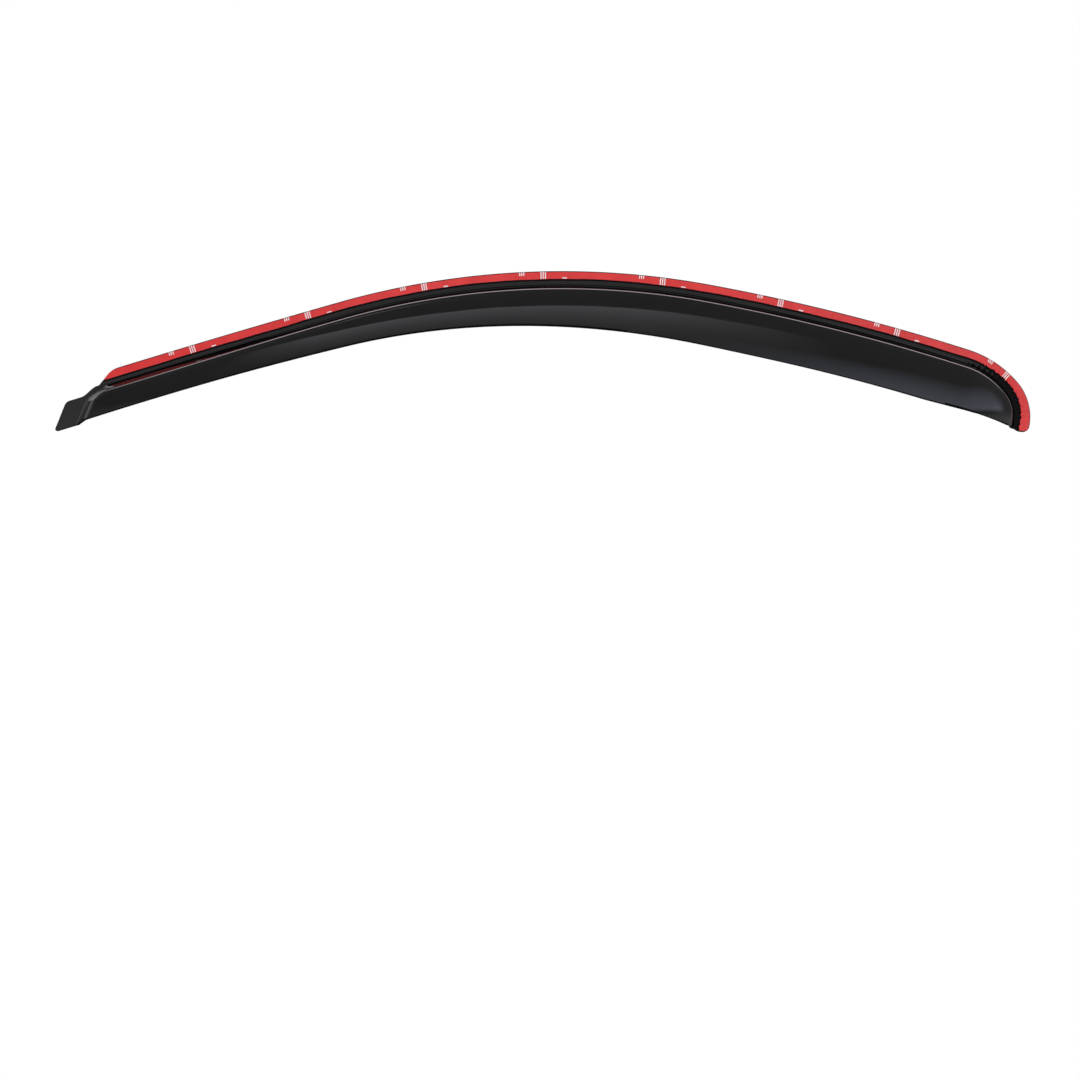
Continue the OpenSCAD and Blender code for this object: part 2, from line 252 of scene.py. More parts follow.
def lower_line(s):
    """Inset of the blade's lower edge."""
    return mix(FRONT_DEPTH, REAR_DEPTH, smooth((s - DEEPEN_FROM) / (DEEPEN_TO - DEEPEN_FROM)))


def flare(s):
    """Height of the blade's lower edge over the flange ahead of the fan."""
    u = np.clip((s - FLARE_FROM) / (FLARE_TO - FLARE_FROM), 0, 1)
    return mix(FRONT_FLARE, REAR_FLARE, u * (2 - u))


def upper_edge(s):
    """Inset of the upper side: cut flange end, neck, tab and the tab's rounded corner."""
    rounded = CUT_CORNER_R - root(CUT_CORNER_R**2 - (s - CUT_TANGENT) ** 2)
    cut = np.where(s > -CUT_TANGENT * math.cos(CUT_TURN), rounded, -s * math.tan(CUT_TURN))
    cut = np.where(s >= CUT_TANGENT, 0, cut)
    neck = mix(NECK_INSET, TAB_INSET, smooth((-s - NECK_LEN) / NECK_STEP))
    corner = TAB_INSET + TAB_CORNER_R - root(TAB_CORNER_R**2 - (s - TAB_TOP_S) ** 2)
    return np.where(s < TAB_TOP_S, corner, np.minimum(cut, neck))


def bottom_edge(s, top):
    """Inset of the lower side, with the tab's rounded tip and the trimmed stretch on the ramp."""
    from_end = (s + TAB_REACH + (top - TAB_DEPTH) * LEAN) * math.cos(TAB_SLANT)
    off = from_end - TIP_R
    tip = TAB_DEPTH - TIP_R + off * math.sin(TAB_SLANT)
    tip = tip + math.cos(TAB_SLANT) * root(TIP_R**2 - off**2)
    in_tip = (s < TAB_TOP_S) & (off < TIP_R * math.sin(TAB_SLANT))
    up = np.clip((s + RAMP_SETBACK + top * LEAN) * math.cos(TAB_SLANT) / RAMP_RUN, 0, 1)
    line = mix(TAB_DEPTH, lower_line(s), smooth(up)) - 4 * RAMP_TRIM * up * (1 - up)
    return np.where(in_tip, tip, line)


def raised_distance(s, n):
    """Distance inside the foot of the raised field, round the corner from wall to ramp."""
    by_wall = n - foot_line(s)
    by_ramp = (s + RAMP_SETBACK + n * LEAN) * math.cos(TAB_SLANT) * wall_run(s) / RAMP_RUN
    a = RAMP_CORNER_R - by_wall
    b = RAMP_CORNER_R - by_ramp
    c = math.sin(TAB_SLANT)
    in_corner = (a - c * b > 0) & (b - c * a > 0)
    rounded = RAMP_CORNER_R - root((a * a + b * b - 2 * c * a * b) / (1 - c * c))
    return np.where(in_corner, rounded, np.minimum(by_wall, by_ramp))


def wall_height(s, d):
    """Height of the wall's section at the distance d inside its foot."""
    slope = wall_slopes(s)[0]
    top = wall_top(s)
    radius = flank_radius(s)
    foot, flank, crest = wall_parts(s)
    run = foot + flank + crest
    height = np.where(d < foot, FOOT_R - root(FOOT_R**2 - d * d), 0)
    along = d - foot + radius * np.sin(slope)
    hollow = FOOT_R * (1 - np.cos(slope)) + radius * np.cos(slope) - root(radius**2 - along**2)
    height = np.where(d >= foot, hollow, height)
    rounded = top - CREST_R + root(CREST_R**2 - (run - d) ** 2)
    height = np.where(d >= foot + flank, rounded, height)
    return np.where(d <= 0, 0, np.where(d >= run, top, height))


def bulged(v):
    """Share of the flare at the share v of the way from crest to lower edge."""
    v = np.maximum(v, 0)
    eased = np.where(v < SOFT_START, v * v / (2 * SOFT_START), v - SOFT_START / 2)
    eased = eased / (1 - SOFT_START / 2)
    return eased * (1 + BLADE_BULGE * (1 - eased))


def face_height(s, n, edge_height):
    """Height of the outer face over the flange."""
    step = wall_height(s, raised_distance(s, n))
    flare_from = crest_line(s) - wall_parts(s)[2] / 2
    v = (n - flare_from) / (lower_line(s) - flare_from)
    return step + (edge_height - wall_top(s)) * bulged(v) * step / wall_top(s)


# Rear end: the blade's columns fan out along the straight trim line below the heel
FAN_START = SHOULDER_START - FAN_LEAD
FAN_LEN = CREST_END - FAN_START
TRIM_START = np.array(plan_point(FAN_START, lower_line(FAN_START)))
TRIM_END = np.array(plan_point(CREST_END, crest_line(CREST_END)))
TRIM_LEN = float(np.linalg.norm(TRIM_END - TRIM_START))
FAN_POWER = max(1.2, FAN_LEN / (TRIM_LEN * FAN_SHARE))
TRIM_RISE_LEN = TRIM_LEN * (1 - FAN_SHARE) * (1 + BLADE_BULGE) / (2 * BLADE_BULGE)


def fan_reach(s):
    """Share of the trim line at which the fan's column s ends."""
    return FAN_SHARE * (1 - (1 - np.clip((s - FAN_START) / FAN_LEN, 0, 1)) ** FAN_POWER)


def edge_flare(s):
    """Height of the lower edge, which sinks to the crest along the trim line."""
    u = np.minimum(1, TRIM_LEN * (1 - fan_reach(s)) / TRIM_RISE_LEN)
    return np.where(s < FAN_START, flare(s), mix(wall_top(s), flare(s), u * (2 - u)))


def rear_shift(n):
    """How far the flange's rear end lies past the end of the crest, with its rounded corner."""
    lug = FLANGE_LUG * (1 - smooth((n - FLANGE_W + LUG_BLEND / 2) / LUG_BLEND))
    corner = REAR_CORNER_R - root(REAR_CORNER_R**2 - (REAR_CORNER_R - n) ** 2)
    return lug - np.where(n < REAR_CORNER_R, corner, 0)


def steps(start, end, longest):
    """Even steps from start to end, without the end."""
    return np.linspace(start, end, max(1, math.ceil((end - start) / longest)), endpoint=False)


# Distances from a free edge at which its rounding is sampled
EDGE_ROUND = 0.25
ROUND_STEPS = EDGE_ROUND * np.array([0, 0.03, 0.12, 0.3, 0.6, 1.0])


def shell_columns():
    """Distances s of the columns, closer together where the form turns."""
    return np.concatenate([
        steps(TAB_END_S, TAB_TOP_S, 0.35),
        steps(TAB_TOP_S, EVEN_END_S, 0.8),
        steps(EVEN_END_S, LEAN_FROM, 0.35),
        steps(LEAN_FROM, LEAN_FROM + RAMP_CORNER_R, 1.0),
        steps(LEAN_FROM + RAMP_CORNER_R, LEAN_TO, 2.5),
        steps(LEAN_TO, SHOULDER_START, 3.6),
        steps(SHOULDER_START, CREST_END - END_BLEND / 4, 0.9),
        steps(CREST_END - END_BLEND / 4, CREST_END - 2 * EDGE_ROUND, 0.4),
        CREST_END - ROUND_STEPS[::-1],
    ])


# Shares of the flange, of the wall's three parts and of the blade at which the lines run
FLANGE_LINES = np.concatenate([np.linspace(0.08, 0.9, 7), [1]])
PART_LINES = (np.linspace(0.12, 1, 8), np.linspace(0.25, 1, 4), np.linspace(0.07, 1, 14))
BLADE_LINES = np.linspace(0, 1, 28)[1:]


def upper_lines(s, top):
    """Inset of the lines of flange and wall in the columns s, whose upper side lies at top."""
    foot = foot_line(s)
    crest = crest_line(s)
    lines = [ROUND_STEPS[None, :] + 0 * s]
    start = foot * FLANGE_LINES[None, :]
    lines.append(np.maximum(start, ROUND_STEPS[-1] + 0.1))
    at = foot
    for part, shares in zip(wall_parts(s), PART_LINES):
        lines.append(at + part * shares[None, :])
        at = at + part
    plain = np.concatenate(lines, 1)
    return mix(top, crest, plain / crest)


def shell_grid():
    """x, z and height of the outer face as arrays of columns by lines."""
    s = shell_columns()[:, None]
    top = np.where(s < LEAN_FROM, upper_edge(s), 0)
    bottom = bottom_edge(s, top)
    crest = crest_line(s)
    n_upper = upper_lines(s, top)
    n_blade = mix(crest, bottom, BLADE_LINES[None, :])
    n_plain = np.concatenate([n_upper, n_blade], 1)
    lines = n_plain.shape[1]
    even = np.linspace(0, 1, lines)[None, :]
    evenness = 1 - smooth((s - TAB_END_S) / (EVEN_END_S - TAB_END_S))
    n = mix(n_plain, mix(top, bottom, even), evenness)

    # the last lines before the lower edge, closer together for its rounding
    full = 1.6
    depth = np.minimum(bottom - n[:, -2:-1], full)
    rounded = bottom - ROUND_STEPS[::-1][None, :] * depth / full
    n = np.concatenate([n[:, :-1], rounded], 1)
    is_blade = np.arange(n.shape[1]) >= n_upper.shape[1]

    lean = LEAN * (1 - smooth((s - LEAN_FROM) / (LEAN_TO - LEAN_FROM)))
    rear = np.clip((s - CREST_END + END_BLEND) / END_BLEND, 0, 1)
    along = s - (n - top) * lean + rear * np.where(is_blade, 0, rear_shift(n))
    x, z = plan_point(along, n)

    # columns of the fan run straight from the crest to the trim line
    v = (n - crest) / (bottom - crest)
    crest_x, crest_z = plan_point(s, crest)
    reach = fan_reach(s)
    low_x = mix(TRIM_START[0], TRIM_END[0], reach)
    low_z = mix(TRIM_START[1], TRIM_END[1], reach)
    in_fan = (s >= FAN_START) & is_blade[None, :]
    x = np.where(in_fan, mix(crest_x, low_x, v), x)
    z = np.where(in_fan, mix(crest_z, low_z, v), z)
    return x, z, face_height(along, n, edge_flare(s))


def inward_normals(points):
    """Unit normals of a grid of points, pointing into the car."""
    across = np.gradient(points, axis=0)
    down = np.gradient(points, axis=1)
    # where the last column meets the lower edge in one line, its neighbour's directions serve
    tail = slice(-8, None)
    across[-1, tail] = across[-2, tail]
    down[-1, tail] = down[-2, tail]
    normals = np.cross(across, down)
    return normals / np.linalg.norm(normals, axis=2, keepdims=True)


def edge_drop(points):
    """How far each face sinks towards the middle of the sheet near a free edge."""
    down = np.linalg.norm(np.diff(points, axis=1), axis=2)
    across = np.linalg.norm(np.diff(points, axis=0), axis=2)
    from_top = np.concatenate([np.zeros((len(points), 1)), np.cumsum(down, 1)], 1)
    from_low = from_top[:, -1:] - from_top
    ahead = np.concatenate([np.zeros((1, points.shape[1])), np.cumsum(across, 0)], 0)
    behind = ahead[-1:] - ahead
    near = np.minimum(np.minimum(from_top, from_low), np.minimum(ahead, behind))
    inside = np.clip(EDGE_ROUND - near, 0, EDGE_ROUND)
    return EDGE_ROUND - root(EDGE_ROUND**2 - inside**2)


def add_object(name, data):
    obj = bpy.data.objects.new(name, data)
    bpy.context.scene.collection.objects.link(obj)
    return obj


def sheet_mesh(name, front, back, cut=None):
    """Closed mesh between two grids of points in millimetres, joined round their border.

    Where marked points are given, faces of the border, and those that touch a marked point, get the
    second material.
    """
    rows, cols = front.shape[:2]
    index = np.arange(rows * cols).reshape(rows, cols)
    a, b = index[:-1, :-1], index[1:, :-1]
    c, d = index[1:, 1:], index[:-1, 1:]
    quads = np.stack([a, b, c, d], -1).reshape(-1, 4)
    other = quads[:, ::-1] + rows * cols
    border = np.concatenate([index[:, 0], index[-1, 1:], index[-2::-1, -1], index[0, -2:0:-1]])
    after = np.roll(border, -1)
    rim = np.stack([after, border, border + rows * cols, after + rows * cols], -1)
    faces = np.concatenate([quads, other, rim])[:, ::-1]
    points = np.concatenate([front.reshape(-1, 3), back.reshape(-1, 3)]) * MM
    mesh = bpy.data.meshes.new(name)
    mesh.from_pydata(points.tolist(), [], faces.tolist())
    mesh.update()
    mesh.polygons.foreach_set("use_smooth", [True] * len(mesh.polygons))
    if cut is not None:
        marked = cut.ravel()[quads].any(1)
        slots = np.concatenate([marked, marked, np.ones(len(rim), bool)])
        mesh.polygons.foreach_set("material_index", slots.astype(int).tolist())
    return add_object(name, mesh)


def build_shell():
    """Moulded sheet with rounded rims, which get the frosted material."""
    x, z, height = shell_grid()
    outer = np.stack([x, FLANGE_Y - height, z], -1)
    inward = inward_normals(outer)
    drop = edge_drop(outer)
    front = outer + inward * drop[..., None]
    back = outer + inward * (SHELL_T - drop)[..., None]
    return sheet_mesh("visor", front, back, drop > 0)


# Tape and film: they pucker along their inner edge where they follow the shoulder and heel
PUCKER_FROM = SHOULDER_START + 4
PUCKER_LIFT = 0.7
PUCKER_DIP = 0.15
PUCKER_BITE = 0.9
PUCKER_POWER = 5
EDGE_POWER = 12
# Strip of foam past the film's inner edge, in mm: partly the foam's real side, partly painted shade
# for the shadow under the film's edge
FOAM_SHADE_LIP = 1.1
FILM_TRIM = 0.5
SPREAD_LEN = 1.25 * HEEL_R


def tape_width(s):
    """Width of the tape, which spreads in the heel's narrow turn."""
    return TAPE_W + TAPE_GAIN * smooth(1 + (s - FLANGE_END + TAPE_MARGIN) / SPREAD_LEN)


def pucker(s):
    """Uneven wave of the puckers at s, from -1 for a fold to 1 for a bulge."""
    phase = s / 1.05 + 1.6 * np.sin(s / 6.1) + 0.9 * np.sin(s / 2.9 + 1.0)
    wave = 0.62 * np.sin(phase) + 0.38 * np.sin(1.73 * phase + 0.8)
    return wave * smooth((s - PUCKER_FROM) / 36)


def wander(s):
    """How far the film's inner edge strays from a true line at s, with one step at 210 mm."""
    return 0.16 * np.sin(s / 23) + 0.1 * np.sin(s / 7.3 + 1) + 0.25 * smooth((210 - s) / 5)


def strip_point(s, t, depth, shade_lip=0.0, trim=0.0):
    """Point of the tape at the share t of its width and the depth below its bond face.

    The lip, partly painted shade, adds a near-black strip to its inner edge, and the trim takes from
    its outer one.
    """
    wave = pucker(s)
    lift = PUCKER_LIFT * np.maximum(wave, -PUCKER_DIP) * t**2
    share = 1 - np.clip(depth / (LINER_T + TAPE_T), 0, 1)
    n = TAPE_MARGIN + tape_width(s) * t + (PUCKER_BITE * wave + wander(s)) * t**PUCKER_POWER
    n = n + shade_lip * t**EDGE_POWER + trim * (1 - t) ** EDGE_POWER
    x, z = plan_point(s, n)
    return np.stack([x, depth - lift * share, z], -1)


def strip_front(n):
    """Front end of the tape at n, parallel to the flange's cut end."""
    r = CUT_CORNER_R - TAPE_MARGIN
    on_arc = CUT_TANGENT - root(r * r - (CUT_CORNER_R - n) ** 2)
    on_cut = (TAPE_MARGIN - n * math.cos(CUT_TURN)) / math.sin(CUT_TURN)
    return np.where(n < CUT_CORNER_R - r * math.cos(CUT_TURN), on_arc, on_cut)


def strip_rear(n):
    """Rear end of the tape at n, inside the flange's rounded corner."""
    r = REAR_CORNER_R - TAPE_MARGIN
    on_arc = FLANGE_END - REAR_CORNER_R + root(r * r - (REAR_CORNER_R - n) ** 2)
    return np.where(n < REAR_CORNER_R, on_arc, FLANGE_END - TAPE_MARGIN)


STRIP_SHARES = np.concatenate([
    [0, 0.004, 0.012, 0.03, 0.06, 0.1],
    np.linspace(0.16, 0.9, 9),
    [0.93, 0.96, 0.98, 0.992, 1],
])


def strip_grid():
    """Distances s and width shares t of the strip's points."""
    along = np.concatenate([
        [0, 0.0002, 0.0006, 0.0012],
        steps(0.002, 0.012, 0.001),
        steps(0.012, 0.86, 0.0035),
        steps(0.86, 0.996, 0.00055),
        1 - np.array([0.004, 0.002, 0.001, 0.0004, 0]),
    ])[:, None]
    t = STRIP_SHARES[None, :] + 0 * along
    n = TAPE_MARGIN + TAPE_W * t
    rear_n = TAPE_MARGIN + (TAPE_W + TAPE_GAIN) * t
    return mix(strip_front(n), strip_rear(rear_n), along), t


def build_strip(name, near, far, shade_lip=0.0, trim=0.0):
    """Strip between two depths below the bond face."""
    s, t = strip_grid()
    front, back = (strip_point(s, t, depth, shade_lip, trim) for depth in (near, far))
    return sheet_mesh(name, front, back)


# Foam that buckles out over the flange in the heel, between the wall's foot and the tape
BUCKLE_FROM = 944.0
BUCKLE_TO = 1008.0
BUCKLE_GAP = 0.9
BUCKLE_LAP = 1.0
BUCKLE_T = 0.35


def buckle_edge(s):
    """Upper edge of the buckled foam, a row of teeth that grow up from the flange's foot."""
    tooth = 0.5 + 0.5 * np.sin(s / 1.3 + 1.3 * np.sin(s / 11))
    fine = 0.5 + 0.5 * np.sin(s / 0.62 + 2 * np.sin(s / 5))
    risen = smooth((s - BUCKLE_FROM) / (BUCKLE_TO - BUCKLE_FROM))
    tooth_share = mix(0.25, 0.9, 4 * risen * (1 - risen))
    share = 0.08 + 1.1 * risen + (tooth - 0.6) * tooth_share + 0.12 * fine
    top = TAPE_MARGIN + tape_width(s) - BUCKLE_LAP
    return mix(foot_line(s) + BUCKLE_GAP, top, np.clip(share, 0.02, 1))


def build_buckle():
    """Foam squeezed out over the flange where the tape follows the heel's bend."""
    s = steps(BUCKLE_FROM, FLANGE_END - TAPE_MARGIN, 0.45)[:, None]
    share = np.concatenate([[0, 0.03, 0.1], np.linspace(0.2, 0.9, 9), [0.97, 1]])[None, :]
    n = mix(buckle_edge(s), foot_line(s) + BUCKLE_GAP, share)
    x, z = plan_point(s + 0 * share, n)
    swell = BUCKLE_T + 0.3 * np.sin(math.pi * share) * (1 + np.sin(s / 1.1 + 5 * share))
    front = np.stack([x, FLANGE_Y - swell, z], -1)
    back = np.stack([x, 0 * x + FLANGE_Y, z], -1)
    return sheet_mesh("buckled_foam", front, back)


# Plain printed marks on the film: groups of bars, repeated along it
MARK_FIRST = 66.5
MARK_PITCH = 128.6
MARK_GAP = 23.0
MARK_PROUD = 0.02
# Each group's place in a repeat, number and pitch of bars, middle across the tape, and a bar's
# length along it and share of its width
MARK_GROUPS = (
    (0, 3, 2.2, 0.24, 1.1, 0.46),
    (MARK_GAP, 3, 2.3, 0.5, 1.2, 0.94),
    (2 * MARK_GAP, 1, 0, 0.88, 5.0, 0.15),
)


def patch(s, middle, length, share):
    """Coordinates s and t of one printed bar; share is its part of the tape's width."""
    across = s + length * np.linspace(-0.5, 0.5, 5)
    return np.meshgrid(across, middle + share * np.linspace(-0.5, 0.5, 5), indexing="ij")


def mark_patches():
    """Coordinates of all bars, as far as the heel's narrow turn."""
    last = FLANGE_END - 2.2 * MARK_GAP
    for start in np.arange(MARK_FIRST, last, MARK_PITCH):
        for place, bars, pitch, middle, length, share in MARK_GROUPS:
            if start + place < last:
                for k in range(bars):
                    s = start + place + pitch * (k - (bars - 1) / 2)
                    yield patch(s, middle, length, share)


def build_marks():
    """Printed bars as thin faces that follow the film's puckers."""
    points = []
    faces = []
    for s, t in mark_patches():
        base = len(points)
        grid = strip_point(s, t, -MARK_PROUD)
        rows, cols = s.shape
        points += grid.reshape(-1, 3).tolist()
        for i in range(rows - 1):
            for j in range(cols - 1):
                at = base + i * cols + j
                faces.append([at, at + 1, at + cols + 1, at + cols])
    mesh = bpy.data.meshes.new("film_marks")
    mesh.from_pydata((np.array(points) * MM).tolist(), [], faces)
    mesh.update()
    return add_object("film_marks", mesh)


# Materials of the object


def new_material(name):
    """Material with its nodes, its links and its Principled shader."""
    material = bpy.data.materials.new(name)
    material.use_nodes = True
    nodes = material.node_tree.nodes
    return material, nodes, material.node_tree.links, nodes["Principled BSDF"]


def noise(nodes, links, scale, detail):
    """Noise over the object's own coordinates, in metres."""
    coordinates = nodes.new("ShaderNodeTexCoord")
    texture = nodes.new("ShaderNodeTexNoise")
    texture.inputs["Scale"].default_value = scale
    texture.inputs["Detail"].default_value = detail
    links.new(coordinates.outputs["Object"], texture.inputs["Vector"])
    return texture.outputs["Fac"]


def add_bump(nodes, links, height, strength, distance, normal=None):
    bump = nodes.new("ShaderNodeBump")
    bump.inputs["Strength"].default_value = strength
    bump.inputs["Distance"].default_value = distance
    links.new(height, bump.inputs["Height"])
    if normal:
        links.new(normal, bump.inputs["Normal"])
    return bump.outputs["Normal"]


def ranged(nodes, links, value, low, high):
    """Noise spread over the range from low to high."""
    remap = nodes.new("ShaderNodeMapRange")
    remap.inputs["From Min"].default_value = 0.3
    remap.inputs["From Max"].default_value = 0.7
    remap.inputs["To Min"].default_value = low
    remap.inputs["To Max"].default_value = high
    links.new(value, remap.inputs["Value"])
    return remap.outputs["Result"]


def tinted(nodes, links, value, first, second, low=0.35, high=0.65):
    """Colour that goes from the first to the second as the noise rises from low to high."""
    ramp = nodes.new("ShaderNodeValToRGB")
    ramp.color_ramp.elements[0].position = low
    ramp.color_ramp.elements[0].color = (*first, 1)
    ramp.color_ramp.elements[1].position = high
    ramp.color_ramp.elements[1].color = (*second, 1)
    links.new(value, ramp.inputs["Fac"])
    return ramp.outputs["Color"]


def smoked_acrylic():
    material, nodes, links, shader = new_material("smoked_acrylic")
    cloud = noise(nodes, links, 30, 3)
    links.new(tinted(nodes, links, cloud, (0.0018, 0.0018, 0.0021), (0.0028, 0.0028, 0.0032)),
              shader.inputs["Base Color"])
    shader.inputs["IOR"].default_value = 1.49
    sheen = ranged(nodes, links, noise(nodes, links, 60, 4), 0.03, 0.06)
    links.new(sheen, shader.inputs["Roughness"])
    waves = add_bump(nodes, links, noise(nodes, links, 14, 1), 0.12, 0.002)
    fine = add_bump(nodes, links, noise(nodes, links, 900, 2), 0.02, 0.0002, waves)
    links.new(fine, shader.inputs["Normal"])
    return material


def cut_edge():
    """Trimmed edge of the acrylic: dark and frosted by the router."""
    material, nodes, links, shader = new_material("cut_edge")
    cloud = noise(nodes, links, 700, 3)
    links.new(tinted(nodes, links, cloud, (0.0022, 0.0022, 0.0026), (0.0045, 0.0045, 0.005)),
              shader.inputs["Base Color"])
    shader.inputs["Roughness"].default_value = 0.7
    shader.inputs["Specular IOR Level"].default_value = 0.03
    links.new(add_bump(nodes, links, cloud, 0.3, 0.0001), shader.inputs["Normal"])
    return material


def foam():
    material, nodes, links, shader = new_material("acrylic_foam")
    cells = noise(nodes, links, 2600, 3)
    # Near black: the foam's own colour, and where the tape's lip shows past the film also painted
    # shade
    links.new(tinted(nodes, links, cells, (0.0015, 0.0015, 0.0017), (0.006, 0.006, 0.0065)),
              shader.inputs["Base Color"])
    shader.inputs["Roughness"].default_value = 0.85
    shader.inputs["Specular IOR Level"].default_value = 0.15
    links.new(add_bump(nodes, links, cells, 0.5, 0.0002), shader.inputs["Normal"])
    return material


def release_film():
    material, nodes, links, shader = new_material("release_film")
    cloud = noise(nodes, links, 35, 3)
    links.new(tinted(nodes, links, cloud, (0.71, 0.028, 0.029), (0.79, 0.037, 0.038)),
              shader.inputs["Base Color"])
    sheen = ranged(nodes, links, noise(nodes, links, 160, 3), 0.32, 0.44)
    links.new(sheen, shader.inputs["Roughness"])
    shader.inputs["Specular IOR Level"].default_value = 0.36
    creases = add_bump(nodes, links, noise(nodes, links, 120, 3), 0.25, 0.0006)
    links.new(creases, shader.inputs["Normal"])
    return material


def printed_white():
    material, nodes, links, shader = new_material("printed_white")
    speckle = noise(nodes, links, 1500, 3)
    links.new(tinted(nodes, links, speckle, (0.82, 0.55, 0.56), (0.9, 0.86, 0.86), 0.32, 0.5),
              shader.inputs["Base Color"])
    shader.inputs["Roughness"].default_value = 0.45
    return material


# Studio


def bare_material(name):
    """Material with no shader yet, its nodes, its links and its output."""
    material = bpy.data.materials.new(name)
    material.use_nodes = True
    nodes = material.node_tree.nodes
    nodes.clear()
    return material, nodes, material.node_tree.links, nodes.new("ShaderNodeOutputMaterial")


def combined(nodes, links, operation, first, second):
    """Result of a math node on a socket and either another socket or a number."""
    node = nodes.new("ShaderNodeMath")
    node.operation = operation
    links.new(first, node.inputs[0])
    if isinstance(second, float):
        node.inputs[1].default_value = second
    else:
        links.new(second, node.inputs[1])
    return node.outputs[0]


def mixed(nodes, links, share, first, second):
    """Mix of two shaders."""
    node = nodes.new("ShaderNodeMixShader")
    links.new(share, node.inputs["Fac"])
    links.new(first, node.inputs[1])
    links.new(second, node.inputs[2])
    return node.outputs["Shader"]


def coordinate(nodes, links, kind, axis):
    """One of the texture coordinates of a card."""
    place = nodes.new("ShaderNodeTexCoord")
    split = nodes.new("ShaderNodeSeparateXYZ")
    links.new(place.outputs[kind], split.inputs["Vector"])
    return split.outputs[axis]


def card_material(name, white_share, fades=False):
    """Pale surface of which this share shows as white to the camera, in gloss and through glass.

    A wall that fades goes over into the world's grey towards its top, so that gloss shows no edge.
    """
    material, nodes, links, output = bare_material(name)
    plain = nodes.new("ShaderNodeBsdfDiffuse")
    plain.inputs["Color"].default_value = (0.8, 0.8, 0.8, 1)
    glow = nodes.new("ShaderNodeEmission")
    path = nodes.new("ShaderNodeLightPath")
    seen = path.outputs["Is Camera Ray"]
    for ray in ("Is Glossy Ray", "Is Transmission Ray"):
        seen = combined(nodes, links, "MAXIMUM", seen, path.outputs[ray])
    share = combined(nodes, links, "MULTIPLY", seen, white_share)
    surface = mixed(nodes, links, share, plain.outputs["BSDF"], glow.outputs["Emission"])
    if fades:
        height = nodes.new("ShaderNodeMapRange")
        height.interpolation_type = "SMOOTHSTEP"
        height.inputs["From Min"].default_value = 0.2
        height.inputs["From Max"].default_value = 1.0
        links.new(coordinate(nodes, links, "Generated", "Z"), height.inputs["Value"])
        clear = nodes.new("ShaderNodeBsdfTransparent")
        surface = mixed(nodes, links, height.outputs["Result"], surface, clear.outputs["BSDF"])
    links.new(surface, output.inputs["Surface"])
    return material


def plane(name, corners, material):
    """Flat piece of the studio between four corners."""
    mesh = bpy.data.meshes.new(name)
    mesh.from_pydata(corners, [], [[0, 1, 2, 3]])
    mesh.update()
    mesh.materials.append(material)
    return add_object(name, mesh)


def faded(nodes, links, value, stops):
    """Level that follows the value through the stops, each a position and a level."""
    ramp = nodes.new("ShaderNodeValToRGB")
    elements = ramp.color_ramp.elements
    while len(elements) < len(stops):
        elements.new(0.5)
    for element, (position, level) in zip(elements, stops):
        element.position = position
        element.color = (level, level, level, 1)
    links.new(value, ramp.inputs["Fac"])
    return ramp.outputs["Color"]


def softbox(name, corners, radiance, across, up, colour=(1, 1, 1)):
    """Glowing card out of the camera's sight.

    It is at full level between the two shares across, and follows the stops of up over its height.
    """
    material, nodes, links, output = bare_material(name)
    glow = nodes.new("ShaderNodeEmission")
    glow.inputs["Color"].default_value = (*colour, 1)
    ends = ((0, 0), (across[0], 1), (across[1], 1), (1, 0))
    along = faded(nodes, links, coordinate(nodes, links, "UV", "X"), ends)
    upward = faded(nodes, links, coordinate(nodes, links, "UV", "Y"), up)
    level = combined(nodes, links, "MULTIPLY", along, upward)
    links.new(combined(nodes, links, "MULTIPLY", level, radiance), glow.inputs["Strength"])
    clear = nodes.new("ShaderNodeBsdfTransparent")
    over = nodes.new("ShaderNodeAddShader")
    links.new(glow.outputs["Emission"], over.inputs[0])
    links.new(clear.outputs["BSDF"], over.inputs[1])
    links.new(over.outputs["Shader"], output.inputs["Surface"])
    card = plane(name, corners, material)
    layer = card.data.uv_layers.new(name="card")
    for loop, corner in enumerate(((0, 0), (1, 0), (1, 1), (0, 1))):
        layer.data[loop].uv = corner
    card.visible_camera = False


def area_light(name, place, size, energy):
    """Lamp that points at the frame's origin and shows no mirror image of itself."""
    data = bpy.data.lights.new(name, "AREA")
    data.shape = "RECTANGLE"
    data.size, data.size_y = size
    data.energy = energy
    lamp = add_object(name, data)
    lamp.location = place
    lamp.rotation_euler = (-Vector(place)).to_track_quat("-Z", "Y").to_euler()
    lamp.visible_glossy = False


# The camera as it stood for the photograph; distances in millimetres
CAMERA_DISTANCE = 900.0
PHOTO_SCALE = 1.07
PHOTO_PIXELS = 1080
PHOTO_CENTRE = (-23.3, -283.05)
SENSOR = 36.0


def add_camera():
    data = bpy.data.cameras.new("camera")
    data.sensor_width = SENSOR
    data.lens = SENSOR * CAMERA_DISTANCE / (PHOTO_SCALE * PHOTO_PIXELS)
    data.clip_start = 0.01
    camera = add_object("camera", data)
    x, z = PHOTO_CENTRE
    camera.location = (x * MM, (FLANGE_Y - CAMERA_DISTANCE) * MM, z * MM)
    camera.rotation_euler = (math.pi / 2, 0, 0)
    bpy.context.scene.camera = camera


def add_world():
    world = bpy.data.worlds.new("studio")
    bpy.context.scene.world = world
    world.use_nodes = True
    background = world.node_tree.nodes["Background"]
    background.inputs["Color"].default_value = (0.27, 0.265, 0.265, 1)
    background.inputs["Strength"].default_value = 1.0


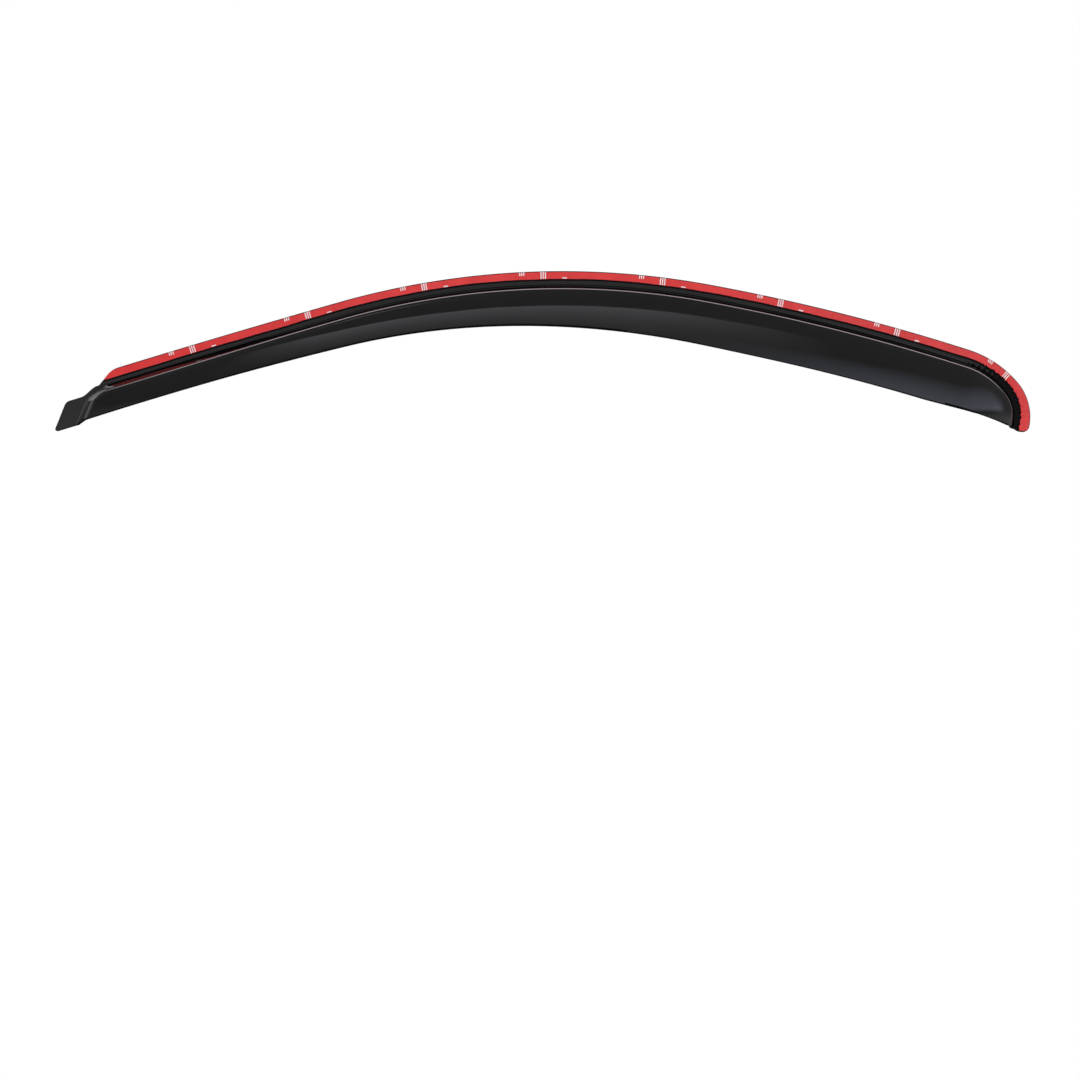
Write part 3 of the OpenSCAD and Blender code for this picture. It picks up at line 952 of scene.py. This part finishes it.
def add_room():
    """Floor, low walls that fade out upward, and a higher white backdrop behind the part."""
    white = card_material("backdrop_white", 1.0)
    pale = card_material("floor_white", 0.75)
    fading = card_material("wall_white", 0.75, fades=True)
    left, right, front, back = -14, 14, -12, 2.4
    low, wall_end, backdrop_end = -2.6, 3.0, 6.0
    corners = [(left, front), (right, front), (right, back), (left, back)]
    plane("floor", [(x, y, low) for x, y in corners], pale)
    sides = (
        ("front_wall", fading, wall_end),
        ("right_wall", fading, wall_end),
        ("backdrop", white, backdrop_end),
        ("left_wall", fading, wall_end),
    )
    for i, (name, material, end) in enumerate(sides):
        (x0, y0), (x1, y1) = corners[i], corners[(i + 1) % 4]
        points = [(x0, y0, low), (x1, y1, low), (x1, y1, end), (x0, y0, end)]
        plane(name, points, material)


def add_lights():
    """Cards that the gloss mirrors, and two lamps."""
    softbox(
        "band_card",
        [(-1.5, -1.6, 0.86), (1.2, -1.6, 0.86), (1.2, -0.92, 1.54), (-1.5, -0.92, 1.54)],
        1.0,
        across=(0.16, 0.7),
        up=((0, 0), (0.6, 0.5), (1, 1)),
        colour=(0.94, 0.93, 1.0),
    )
    softbox(
        "top_card",
        [(-2.4, -0.1, 1.75), (4, -0.1, 1.75), (4, 0.6, 1.75), (-2.4, 0.6, 1.75)],
        3.9,
        across=(0.12, 0.8),
        up=((0, 0), (0.08, 0.9), (0.5, 1), (1, 1)),
        colour=(1.0, 0.9, 0.93),
    )
    softbox(
        "front_card",
        [(-3.2, -2.7, -0.7), (3.2, -2.7, -0.7), (3.2, -2.7, 1.5), (-3.2, -2.7, 1.5)],
        0.3,
        across=(0.1, 0.9),
        up=((0, 1), (0.8, 1), (1, 0)),
        colour=(0.98, 0.93, 1.0),
    )
    softbox(
        "left_card",
        [(-1.7, 0.3, -0.5), (-1.7, -1.2, -0.5), (-1.7, -1.2, 0.7), (-1.7, 0.3, 0.7)],
        0.8,
        across=(0.3, 0.7),
        up=((0, 0), (0.3, 1), (0.7, 1), (1, 0)),
    )
    softbox(
        "right_card",
        [(0.6, -2.2, 0.6), (3.0, -0.5, 0.1), (3.0, -0.5, 1.5), (0.6, -2.2, 1.8)],
        1.25,
        across=(0.35, 0.85),
        up=((0, 0), (0.25, 1), (0.5, 0.7), (1, 0)),
        colour=(0.72, 0.8, 1.0),
    )
    area_light("key", (-0.6, -1.8, 1.3), (1.6, 1.2), 21)
    area_light("fill", (1.2, -1.8, 0.2), (1.2, 1.2), 10.5)


bpy.context.scene.view_settings.view_transform = "Standard"
add_camera()
add_world()
add_room()
add_lights()

visor = build_shell()
visor.data.materials.append(smoked_acrylic())
visor.data.materials.append(cut_edge())
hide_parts("visor_shell")
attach(visor, "root")

# The foam's lip past the film's inner edge is partly painted shade, a dark strip for the shadow
# under the film's edge
tape = build_strip("tape", LINER_T, LINER_T + TAPE_T, shade_lip=FOAM_SHADE_LIP)
tape.data.materials.append(foam())
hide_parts("foam_tape")
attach(tape, "root")

buckle = build_buckle()
buckle.data.materials.append(foam())
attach(buckle, "root")

film = build_strip("film", 0.0, LINER_T, trim=FILM_TRIM)
film.data.materials.append(release_film())
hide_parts("release_liner")
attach(film, "root")

marks = build_marks()
marks.data.materials.append(printed_white())
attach(marks, "root")
